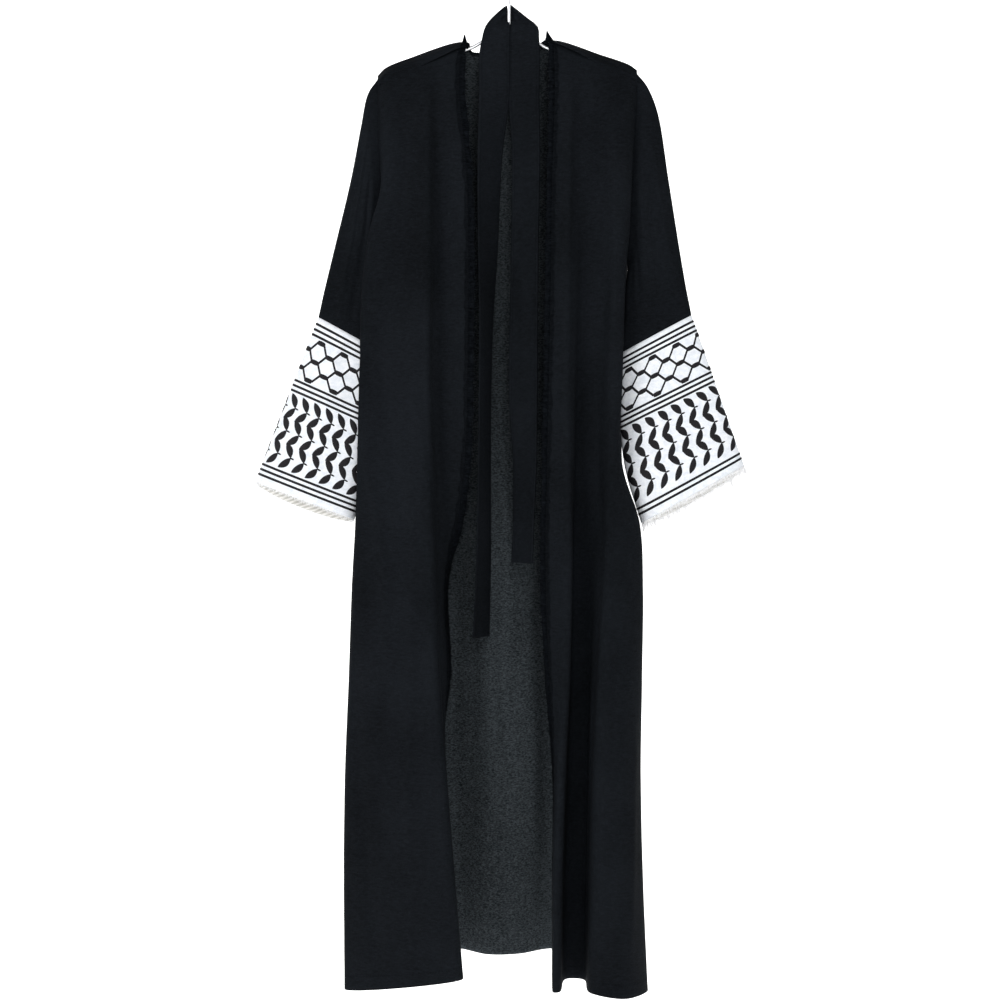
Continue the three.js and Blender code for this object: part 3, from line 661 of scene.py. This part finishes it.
class Nodes:
    """A material with a Principled shader and the nodes that feed it."""

    def __init__(self, name, roughness, specular, metallic=0.0, glow=0.0):
        self.material = bpy.data.materials.new(name)
        self.material.use_nodes = True
        self.tree = self.material.node_tree
        self.shader = self.tree.nodes["Principled BSDF"]
        for key, value in (("Roughness", roughness), ("Specular IOR Level", specular),
                           ("Metallic", metallic), ("Emission Color", (1, 1, 1, 1)),
                           ("Emission Strength", glow)):
            self.shader.inputs[key].default_value = value
        self.place = self.add("ShaderNodeTexCoord").outputs["Object"]

    def add(self, kind, settings=(), **inputs):
        """A node. Each input is a value, or the output that feeds it."""
        node = self.tree.nodes.new(kind)
        for key, value in settings:
            setattr(node, key, value)
        for key, value in inputs.items():
            self.feed(node.inputs[key], value)
        return node

    def feed(self, socket, value):
        if isinstance(value, bpy.types.NodeSocket):
            self.tree.links.new(value, socket)
        else:
            socket.default_value = value

    def scaled(self, scale, turn=0.0):
        """The piece's coordinates, scaled, and turned about Y by an angle."""
        return self.add("ShaderNodeMapping", Vector=self.place, Scale=scale,
                        Rotation=(0, turn, 0)).outputs["Vector"]

    def noise(self, scale, detail=2.0, roughness=0.5, distortion=0.0):
        """Noise; scale is how many of its features lie in a metre of X, Y and Z."""
        return self.add("ShaderNodeTexNoise", Vector=self.scaled(scale), Scale=1.0, Detail=detail,
                        Roughness=roughness, Distortion=distortion).outputs["Fac"]

    def ribs(self, scale, turn, distortion, direction):
        return self.add("ShaderNodeTexWave", [("bands_direction", direction)],
                        Vector=self.scaled((1, 1, 1), turn), Scale=scale, Detail=1.0,
                        Distortion=distortion).outputs["Fac"]

    def math(self, operation, a, b):
        node = self.add("ShaderNodeMath", [("operation", operation)])
        for socket, value in zip(node.inputs, (a, b)):
            self.feed(socket, value)
        return node.outputs[0]

    def blend(self, a, b, share):
        """The two values in the shares `share` and what is left."""
        return self.math("ADD", self.math("MULTIPLY", a, share),
                         self.math("MULTIPLY", b, 1 - share))

    def ramp(self, value, low, dark, high, light):
        """Colours from dark, where the value is low, to light, where it is high."""
        node = self.add("ShaderNodeValToRGB", Fac=value)
        for element, place, color in zip(node.color_ramp.elements, (low, high), (dark, light)):
            element.position = place
            element.color = (*color, 1)
        return node.outputs["Color"]

    def paint(self, value, *tones):
        self.feed(self.shader.inputs["Base Color"], self.ramp(value, *tones))

    def bump(self, height, strength, distance):
        node = self.add("ShaderNodeBump", Strength=strength, Distance=distance, Height=height)
        self.feed(self.shader.inputs["Normal"], node.outputs["Normal"])


def crepe(name, dark, light, grain, strength, crinkles, detail, roughness):
    """Matt crepe: fine crinkles, uneven in tone. crinkles is how many lie in a metre, across
    and down."""
    m = Nodes(name, 0.86, 0.06)
    across, down = crinkles
    crinkle = m.noise((across, across, down), detail, roughness, 0.8)
    m.paint(m.blend(crinkle, m.noise((9, 9, 5)), grain), 0.36, dark, 0.64, light)
    fine = m.noise((900, 900, 1500), 1.0)
    m.bump(m.math("ADD", crinkle, m.math("MULTIPLY", fine, 0.35)), strength, 0.0014)
    return m.material


def strands(name, roughness, specular, scale, tones, bump=None, **shader):
    """Fine strands: threads, or brushed metal."""
    m = Nodes(name, roughness, specular, **shader)
    strand = m.noise(scale)
    m.paint(strand, *tones)
    if bump:
        m.bump(strand, *bump)
    return m.material


def white_cotton():
    """The cuff's cloth: a plain weave, slightly mottled."""
    m = Nodes("cuff_cloth", 0.9, 0.12)
    weave = m.math("MULTIPLY", m.ribs(300, 0.5, 1.2, "X"), m.ribs(300, 0.5, 1.2, "Z"))
    slub = m.noise((110, 110, 160), 4.0, 0.7)
    m.paint(m.blend(weave, slub, 0.35), 0.26, (0.60, 0.64, 0.70), 0.58, (0.88, 0.89, 0.91))
    m.bump(m.math("ADD", weave, slub), 0.45, 0.0005)
    return m.material


def cuff_inside():
    """The cuff's wrong side: the stitches' backs show as greyish ribs."""
    m = Nodes("cuff_inside", 0.92, 0.1)
    tone = m.blend(m.ribs(55, 0.35, 1.5, "Z"), m.noise((70, 70, 70), 3.0), 0.45)
    m.paint(tone, 0.3, (0.50, 0.49, 0.46), 0.7, (0.80, 0.79, 0.76))
    m.bump(tone, 0.5, 0.0006)
    return m.material


def stage_white():
    """White round the garment, where it glows evenly; far out its colour and glow fade to dark, a
    painted falloff of light.
    """
    m = Nodes("stage_white", 0.95, 0.0, glow=0.75)
    near = m.add("ShaderNodeTexGradient", [("gradient_type", "SPHERICAL")],
                 Vector=m.scaled((1 / STAGE_REACH,) * 3)).outputs["Fac"]
    m.paint(near, 0.06, (0.02, 0.02, 0.02), 0.5, (0.92, 0.92, 0.92))
    m.feed(m.shader.inputs["Emission Color"], m.ramp(near, 0.06, (0.4, 0.4, 0.4), 0.5, (1, 1, 1)))
    return m.material


# ---- pieces ----


def dress(obj, slot, *nodes):
    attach(obj, "root")
    if nodes:
        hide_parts(*nodes)
    return obj


def close_seam(grid, distance):
    """Brings a side seam's edge up to the plane of the seam, over the last few millimetres."""
    near = 1 - smooth(distance, 0, SEAM_REACH * MM)
    low = smooth(-grid.points[:, :, 2], 0.42, 0.56)
    grid.points[:, :, 1] *= 1 - near * low * 0.88


def fold(grid, creases, seed, fade, sway=1.0):
    """Lays the creases and the hanging waves into a panel."""
    grid.raise_by((panel_creases(grid, creases) + hang_relief(grid, seed, sway)) * fade)


def row_above_hem(grid):
    """The grid's row that the hem's stitching follows."""
    middle = grid.points[:, grid.points.shape[1] // 2, 2]
    return nearest(middle - middle[-1], HEM_DEPTH * MM)


def build_front(side, looks):
    part = SIDES[side]
    net, creases, seed = part.front
    grid = panel_grid(net, FRONT_GRID, part.out, cut=TRIM_WIDTH * MM)
    # the shoulder edge laps over the back's, up to the seam
    lift = (1 - smooth(-grid.z + grid.z[0], 0, 0.03))[:, :, None]
    grid.points = grid.points + np.array(SHOULDER_LAP) * MM * lift
    fold(grid, creases, seed, edge_fade(grid, 26, 8, 40, 14))
    close_seam(grid, grid.s)
    panel = shell(f"front_{side}_cloth", grid, THIN, [looks.cloth, looks.lining])
    dress(panel, "crepe", f"front_{side}")
    edge = grid.points[:, -1]
    trim = frayed_trim(edge, unit(edge - grid.points[:, -4]), grid.normals()[:, -1],
                       EDGE_THREADS, TRIM_WIDTH, seed)
    fringe = trim.build(f"edge_fringe_{side}_threads", looks.trim)
    dress(fringe, "trim", f"edge_fringe_{side}")
    armhole_end = nearest(grid.z[:, 0], ARMHOLE_END * MM)
    seams = machine_stitches(f"front_{side}_stitches", grid, looks.trim, np.s_[2, 2:-2],
                             np.s_[row_above_hem(grid), 1:], np.s_[3:armhole_end, 2])
    return panel, fringe, seams


def machine_stitches(name, grid, material, *places):
    """Runs of machine stitches along rows and columns of a grid."""
    normals = grid.normals()
    roots, ways = [], []
    for place in places:
        points = grid.points[place]
        reached = path_lengths(points)
        want = np.arange(STITCH_PITCH, reached[-1] / MM - STITCH_PITCH, STITCH_PITCH) * MM
        start = sample(want, reached, points)
        roots.append(start + sample(want, reached, normals[place]) * 0.1 * MM)
        ways.append(sample(want + STITCH * MM, reached, points) - start)
    shapes = threads(np.concatenate(roots), np.concatenate(ways), STITCH * MM, 0.34, segments=2)
    return dress(add_mesh(name, *shapes, [material]), "crepe")


def frayed_trim(edge, ways, normals, count, width, seed):
    """A narrow woven tape at the cloth's edge, and the threads it lets go. width is in
    millimetres."""
    reached = path_lengths(edge)
    number = np.arange(count, dtype=float)
    want = (number + 0.5) / count * reached[-1]
    at, way, out = (sample(want, reached, field) for field in (edge, ways, normals))
    tuft, single = line_noise(want / 0.0075, seed + 11), line_noise(want / 0.0011, seed + 12, 3.0)
    lean = line_noise(want / 0.005, seed + 13, 7.0) + line_noise(want / 0.0012, seed + 14, 9.0)
    along = unit(np.gradient(at, axis=0)) * 0.16 * lean[:, None]
    # two threads of three start under the cloth's edge, and the third lies on the cloth
    over = number % 3 == 2
    root = np.where(over, TRIM_OVERLAP * (0.8 + 0.25 * tuft), 2.5) * MM
    rise = np.where(over, 0.35, -0.7) * MM + number % 2 * 0.2 * MM
    length = width * MM * (0.86 + 0.20 * tuft + 0.20 * single) + root
    trim = Pile()
    trim.add(*threads(at - way * root[:, None] + out * rise[:, None], way + along, length, 0.36,
                      seed, droop=0.05, curl=0.08))
    trim.add(*tape(at[::6], way[::6], out[::6], (width * (0.72 + 0.10 * tuft))[::6, None]))
    return trim


def tape(at, way, out, width):
    """Vertices and faces of a trim's woven root, a flat strip along the edge."""
    back, front = (at + way * reach * MM - out * 0.35 * MM for reach in (-1.5, width))
    corners = [back, front, front - out * 0.7 * MM, back - out * 0.7 * MM]
    return np.stack(corners, axis=1).reshape(-1, 3), capped(len(at), 4)


def build_back(looks):
    grid = panel_grid(BACK, BACK_GRID, 1)
    fold(grid, BACK_CREASES, 41, edge_fade(grid, 26, 26, 60, 14), sway=2.0)
    close_seam(grid, grid.s)
    close_seam(grid, grid.s[:, -1:] - grid.s)
    near_top = 1 - smooth(grid.points[:1, :, 2] - grid.points[:, :, 2], 0, 0.05)
    beside_neck = np.exp(-((grid.c - 4.05) / 0.42) ** 2) \
        * smooth(grid.points[:, :, 1], 0.003, 0.009)
    grid.points[:, :, 2] -= NECK_DIP * MM * near_top * beside_neck
    panel = shell("back_cloth", grid, THIN, [looks.cloth, looks.lining])
    dress(panel, "crepe", "back_panel")
    neck = (grid.c[0] >= 3.0) & (grid.c[0] <= 7.0)
    edge = grid.points[0, neck]
    trim = frayed_trim(edge, np.tile([[0, 0.15, 1.0]], (len(edge), 1)), grid.normals()[0, neck],
                       NECK_THREADS, NECK_TRIM_WIDTH, 77)
    for tip, low, high in NECK_TUFTS:
        trim.add(*neck_tuft(grid, np.array(tip) * MM, low, high))
    fringe = dress(trim.build("neck_fringe_threads", looks.trim), "trim", "neck_fringe")
    top, low = (nearest(grid.points[:, 2, 2], z * MM) for z in (ARMHOLE_TOP, ARMHOLE_END))
    seams = machine_stitches("back_stitches", grid, looks.trim,
                             np.s_[row_above_hem(grid), 1:-1], np.s_[top:low, 2],
                             np.s_[top:low, -3])
    return panel, fringe, seams


def neck_tuft(grid, tip, low, high):
    """The trim's threads at a neck point, from the neck's edge to one tip."""
    pick = (grid.c[0] >= low) & (grid.c[0] <= high)
    number = np.arange(NECK_TUFT_THREADS, dtype=float)
    want = low + (high - low) * (number * 0.618 % 1.0)
    roots = sample(want, grid.c[0, pick], grid.points[0, pick])
    roots[:, 1] += (number % 5 - 2) * 0.5 * MM
    lengths = np.linalg.norm(tip - roots, axis=1) * (0.9 + 0.15 * line_noise(number * 0.37, 91))
    return threads(roots, tip - roots, lengths, 0.7, curl=0.05)


def build_sleeve(side, looks):
    part = SIDES[side]
    rings, creases, seed = part.sleeve
    grid = tube_grid(rings, SLEEVE_GRID, part.out)
    # the first row goes under the armhole's edge
    grid.points[:, :, 0] -= part.out * ARMHOLE_LAP * MM * (1 - smooth(grid.z, 0, 0.02))
    fade = smooth(grid.z, 0, 0.03) * smooth(grid.z[-1:] - grid.z, 0, 0.03)
    grid.raise_by((tube_creases(grid, creases) + tube_waves(grid, seed, 1.1)) * fade)
    sleeve = shell(f"sleeve_{side}_cloth", grid, THIN, [looks.cloth, looks.lining])
    return dress(sleeve, "crepe", f"sleeve_{side}")


class CuffMap:
    """Points on a cuff's right side: around from 0 to 1, and down from 0 at the sleeve to 1."""

    def __init__(self, grid):
        self.points, self.normals = grid.points, grid.normals()
        self.rows, self.columns = grid.points.shape[:2]
        closed = np.concatenate([grid.points, grid.points[:, :1]], axis=1)
        self.girth = lengths_along(closed)[:, -1]
        steps = np.linalg.norm(np.diff(grid.points, axis=0), axis=2)
        self.long = float(steps.sum(axis=0).mean())

    def at(self, around, down, height):
        around, down, height = np.broadcast_arrays(around, down, height)
        row = np.clip(down, 0, 1) * (self.rows - 1)
        column = (around % 1.0) * self.columns
        r0 = np.minimum(row.astype(int), self.rows - 2)
        c0 = column.astype(int) % self.columns
        c1 = (c0 + 1) % self.columns
        fr, fc = (row - r0)[..., None], (column - column.astype(int))[..., None]

        def mix(field):
            top = field[r0, c0] * (1 - fc) + field[r0, c1] * fc
            low = field[r0 + 1, c0] * (1 - fc) + field[r0 + 1, c1] * fc
            return top * (1 - fr) + low * fr

        return mix(self.points) + mix(self.normals) * height[..., None]

    def size_at(self, down):
        """Girth in metres at a place down the cuff."""
        return np.interp(down, np.linspace(0, 1, self.rows), self.girth)


class Stitching(Pile):
    """Raised satin stitching on a cuff."""

    def __init__(self, place):
        super().__init__()
        self.place = place

    def band(self, around, down, half_around, half_down, height, closed=False):
        """A raised ribbon: centre line (around, down), half width in metres round and down."""
        n = len(around)
        girth = self.place.size_at(down)
        rows = [self.place.at(around + side * half_around / girth,
                              down + side * half_down / self.place.long, rise * height)
                for side, rise in ((-1, 0.02), (-0.55, 0.8), (0, 1.0), (0.55, 0.8), (1, 0.02))]
        faces = quads(n, 5, False)[0].tolist()
        if closed:
            faces += [[(n - 1) * 5 + k, (n - 1) * 5 + k + 1, k + 1, k] for k in range(4)]
        self.add(np.stack(rows, axis=1).reshape(-1, 3), faces)

    def line(self, down):
        """A satin line all round at one place down the cuff."""
        number = np.arange(LINE_STITCHES)
        rib = 0.55 + 0.10 * (number % 2)
        self.band(number / LINE_STITCHES, np.full(LINE_STITCHES, down), 0.0,
                  LINE_WIDTH * MM / 2, rib * MM, closed=True)

    def blade(self, around, down, dx, dy, long, width, bow=0.0, blunt=0.8, count=22, height=0.9):
        """A leaf or a bar from a point, towards (dx, dy) in metres round and down."""
        size = math.hypot(dx, dy)
        dx, dy = dx / size, dy / size
        t = np.linspace(0, 1, count)
        arch = np.sin(t * math.pi)
        half = np.maximum(width * MM / 2 * np.maximum(arch, 0) ** blunt, 0.12 * MM)
        x = dx * long * MM * t - dy * bow * MM * arch
        y = dy * long * MM * t + dx * bow * MM * arch
        rib = height * (0.45 + 0.55 * arch) + 0.10 * (np.arange(count) % 2)
        self.band(around + x / self.place.size_at(down), down + y / self.place.long,
                  -dy * half, dx * half, rib * MM)

    def cord(self, start, end):
        """A thin straight line between two points (around, down)."""
        around, down = np.linspace(start, end, 9).T
        dx = (end[0] - start[0]) * self.place.size_at((start[1] + end[1]) / 2)
        dy = (end[1] - start[1]) * self.place.long
        half = NET_CORD * MM / 2 / math.hypot(dx, dy)
        self.band(around, down, -dy * half, dx * half, 0.5 * MM)


def embroider(side, place, thread):
    """Three bands of lines, a net of staggered knots and columns of leaf vines, all round."""
    part, work = SIDES[side], Stitching(place)
    for down in LINES + part.low_lines:
        work.line(down)
    # the net: knots lie along the band, and thin lines join the ends of staggered ones
    pitch = 1.0 / NET_COLUMNS
    knot = NET_KNOT[0] * MM / place.size_at((NET_TOP + NET_LOW) / 2)
    for row in range(NET_ROWS):
        down, below = (NET_TOP + (NET_LOW - NET_TOP) * k / (NET_ROWS - 1) for k in (row, row + 1))
        for column in range(NET_COLUMNS):
            centre = (column + 0.5 * (row % 2)) * pitch + part.net_turn
            work.blade(centre - knot / 2, down, 1, 0, *NET_KNOT, blunt=0.16, count=16)
            for way in (-1, 1) if row < NET_ROWS - 1 else ():
                work.cord((centre + way * knot * 0.40, down),
                          (centre + way * (pitch / 2 - knot * 0.40), below))
    # the vines: each repeat has a joint with a thorn and two leaves that reach the next joints
    turn = -part.out
    half = (VINE_LOW - VINE_TOP) / VINE_REPEATS / 2
    reach = half * place.long
    for column in range(VINE_COLUMNS):
        foot = (column + 0.25) / VINE_COLUMNS
        for repeat in range(VINE_REPEATS):
            down = VINE_TOP + half * (2 * repeat + 1)
            for way in (-1, 1):
                work.blade(foot, down, -VINE_SLANT * MM * turn, way * reach, *VINE_LEAF,
                           bow=-way * VINE_BOW * turn, blunt=0.72)
            work.blade(foot - turn * MM / place.size_at(down), down, turn, 0.12, *VINE_THORN,
                       blunt=0.5, count=8, height=0.6)
    mesh = work.build(f"embroidery_{side}", thread)
    if part.out < 0:
        mesh.data.flip_normals()
    return dress(mesh, "embroidery")


def build_cuff(side, looks):
    part = SIDES[side]
    rings, creases, seed = part.cuff
    grid = tube_grid(rings, CUFF_GRID, part.out)
    relief = tube_creases(grid, creases) + tube_waves(grid, seed, 0.9)
    grid.raise_by(relief * smooth(grid.z, 0, 0.03))
    # the cuff's top edge laps over the sleeve's end
    grid.points[0] += (grid.points[0] - grid.points[1]) * 0.35
    cuff = shell(f"cuff_{side}_cloth", grid, CUFF_THICKNESS, [looks.cotton, looks.wrong_side])
    dress(cuff, "cuff_cloth", f"cuff_{side}")
    place = CuffMap(grid)
    work = embroider(side, place, looks.thread)
    number = np.arange(CUFF_THREADS, dtype=float)
    edge, above = (place.at(number / CUFF_THREADS, down, -0.6 * MM) for down in (1.0, 0.97))
    way = unit(edge - above)
    tuft, single = line_noise(number / 9.0, seed + 3), line_noise(number * 0.9, seed + 4, 2.0)
    length = part.cuff_fringe * MM * (0.78 + 0.22 * tuft + 0.24 * single)
    lean = np.stack([line_noise(number / 5.0, seed + 5, k) for k in (1.0, 4.0, 8.0)], axis=1)
    shapes = threads(edge - way * 1.5 * MM, way + lean * 0.22, length + 1.5 * MM, 0.26, seed,
                     droop=0.04, curl=0.16)
    fringe = add_mesh(f"cuff_fringe_{side}_threads", *shapes, [looks.wisp])
    dress(fringe, "cuff_cloth", f"cuff_fringe_{side}")
    return cuff, work, fringe


def belt_net():
    net = []
    for x, y, z, turn, stand, width in BELT:
        turn, stand = math.radians(turn), math.radians(stand)
        across = np.array([math.cos(turn) * math.cos(stand), math.sin(turn),
                           math.cos(turn) * math.sin(stand)])
        row = [np.array([x, y, z]) + across * side * width / 2 for side in (-1, -0.33, 0.33, 1)]
        if BELT_MEETS[0] <= z <= BELT_MEETS[1]:
            # the halves hang closed here, the right one's inner edge behind the left one's
            row[3][0] = 1.0 if x < 0 else -1.0
            row[3][1] += 0.0 if x < 0 else 2.2
            if z > BELT_MEETS[1] - 4:
                # and their upper corners rise beside the stem
                row[2][2] += 3.0
                row[3][2] += 8.0
        net.append(row)
    return net


def build_belt(looks):
    grid = panel_grid(belt_net(), BELT_GRID, 1)
    width = grid.s[:, -1:]
    share = grid.s / width
    run = path_lengths(grid.points[:, 11])[:, None]
    squeeze = np.clip(1 - width / 0.043, 0, 0.6)
    pleats = np.sin(share * 2 * math.pi * 3 + 0.6) * squeeze * 2.2
    waves = noise(share * 2.2 + 0 * run, run / 0.09, 31) * 0.7 \
        + noise(share * 5, run / 0.02, 32) * 0.16
    hollow = -np.sin(share * math.pi) * 0.8
    fade = smooth(share, 0, 0.12) * smooth(1 - share, 0, 0.12)
    grid.raise_by((pleats + waves + hollow) * MM * fade)
    belt = dress(shell("belt_cloth", grid, BELT_THICKNESS, [looks.cloth] * 2), "crepe", "belt")
    seams = machine_stitches("belt_stitches", grid, looks.trim, np.s_[:, 2], np.s_[:, -3])
    return belt, seams


def build_hanger(looks):
    arm = [[x, 0, z] for x, z in ARM]
    other = [[-x, 0, z] for x, z in ARM[1:]][::-1]
    path = np.array(other + arm, float) * MM
    centre = ROD_RADIUS - HOOK_RADIUS
    stem = np.array([[0, 0, HANGER_CENTRE_Z], [0, 0, centre - HOOK_RADIUS]]) * MM
    angle = np.linspace(-math.pi / 2, math.pi - HOOK_END_ANGLE, 60)
    hook = [np.cos(angle) * HOOK_RADIUS, angle * 0, centre + np.sin(angle) * HOOK_RADIUS]
    rod = Pile()
    for line in (spline(path, np.linspace(0, len(path) - 1, 120)),
                 spline(stem, np.linspace(0, 1, 12)), np.stack(hook, axis=1) * MM):
        rod.add(*rod_along(line, ROD_RADIUS * MM, 20))
    return dress(rod.build("hanger_rod", looks.steel), "hanger_steel", "hanger")


# ---- the room ----


def area_light(name, place, target, size, power):
    data = bpy.data.lights.new(name, "AREA")
    data.shape = "RECTANGLE"
    data.size, data.size_y = size
    data.energy = power
    lamp = bpy.data.objects.new(name, data)
    lamp.location = place
    lamp.rotation_euler = (Vector(target) - Vector(place)).to_track_quat("-Z", "Y").to_euler()
    bpy.context.scene.collection.objects.link(lamp)


def build_room():
    scene = bpy.context.scene
    profile = [(SWEEP_FRONT, FLOOR_Z)]
    for a in np.arange(13) / 12 * math.pi / 2:
        profile.append((WALL_Y - SWEEP_BEND * (1 - math.sin(a)),
                        FLOOR_Z + SWEEP_BEND * (1 - math.cos(a))))
    profile.append((WALL_Y, SWEEP_TOP))
    vertices = [[x, y, z] for y, z in profile for x in (-SWEEP_HALF, SWEEP_HALF)]
    faces = [[2 * k, 2 * k + 1, 2 * k + 3, 2 * k + 2] for k in range(len(profile) - 1)]
    add_mesh("sweep", vertices, faces, [stage_white()])
    scene.world = bpy.data.worlds.new("soft_white")
    scene.world.use_nodes = True
    inputs = scene.world.node_tree.nodes["Background"].inputs
    inputs["Color"].default_value = (1, 1, 1, 1)
    inputs["Strength"].default_value = WORLD_STRENGTH
    for light in LIGHTS:
        area_light(*light)
    camera = bpy.data.cameras.new("camera")
    camera.lens = CAMERA_LENS
    camera.sensor_width = CAMERA_SENSOR
    camera.clip_end = 50
    scene.camera = bpy.data.objects.new("camera", camera)
    scene.camera.location = CAMERA_PLACE
    scene.camera.rotation_euler = (math.pi / 2, 0, 0)
    scene.collection.objects.link(scene.camera)
    scene.view_settings.view_transform = "Standard"


def build_looks():
    """Every material of the garment and its hanger."""
    return SimpleNamespace(
        cloth=crepe("crepe", (0.0017, 0.0024, 0.0033), (0.0066, 0.0083, 0.0109), 0.6, 0.6,
                    (150, 430), 4.0, 0.68),
        # the crepe's wrong side, lighter than its right side: partly its own tone and crinkle,
        # partly painted light that makes up for the shade inside the garment
        lining=crepe("crepe_inside", (0.0092, 0.0118, 0.0136), (0.0525, 0.062, 0.069), 0.88, 1.0,
                     (300, 620), 2.0, 0.5),
        trim=strands("trim", 0.95, 0.03, (160, 160, 900),
                     (0.35, (0.0012, 0.0016, 0.0023), 0.72, (0.0078, 0.0098, 0.0128)),
                     (0.4, 0.0005)),
        cotton=white_cotton(),
        wrong_side=cuff_inside(),
        thread=strands("embroidery", 0.6, 0.16, (1400, 300, 500),
                       (0.35, (0.004, 0.0035, 0.0045), 0.75, (0.014, 0.0125, 0.015)),
                       (0.5, 0.0003)),
        # the cuff fringe's white threads glow a little: painted light, standing in for light that
        # shines through them
        wisp=strands("cuff_fringe", 0.9, 0.1, (200, 200, 200),
                     (0.3, (0.86, 0.87, 0.89), 0.7, (0.95, 0.95, 0.96)), glow=0.12),
        steel=strands("hanger_steel", 0.3, 0.5, (60, 900, 900),
                      (0.3, (0.66, 0.67, 0.69), 0.7, (0.84, 0.85, 0.87)), (0.08, 0.0002),
                      metallic=1.0))


def main():
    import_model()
    looks = build_looks()
    back, neck_fringe, back_seams = build_back(looks)
    fronts = {side: build_front(side, looks) for side in SIDES}
    sleeves = {side: build_sleeve(side, looks) for side in SIDES}
    cuffs = {side: build_cuff(side, looks) for side in SIDES}
    belt, belt_seams = build_belt(looks)
    rod = build_hanger(looks)

    build_room()


main()
